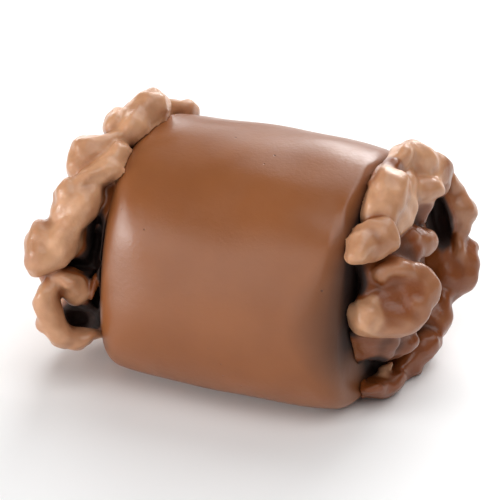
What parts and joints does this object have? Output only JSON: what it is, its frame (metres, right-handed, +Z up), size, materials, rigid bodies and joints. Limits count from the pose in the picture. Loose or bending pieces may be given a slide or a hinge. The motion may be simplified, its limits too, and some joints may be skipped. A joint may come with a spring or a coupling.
{
  "type": "marzipan roll",
  "caption": "Barrel-shaped sweet coated in milk chocolate, with a crown of lumpy chocolate-coated nut pieces on each end.",
  "frame": {"origin": "middle of the roll's flat underside, on the surface it lies on", "axes": "+X along the roll, +Z up; the front shown in the picture faces -Y, with the +X end turned towards the viewer"},
  "size_m": [0.0407, 0.0285, 0.0271],
  "materials": {
    "chocolate_roll": "smooth satin milk chocolate with fine pits",
    "chocolate_nuts": "satin milk chocolate over chopped nuts, uneven"
  },
  "bodies": {
    "root": {"roll": "chocolate_roll", "nut_crown_left": "chocolate_nuts", "nut_crown_right": "chocolate_nuts"}
  },
  "joints": []
}
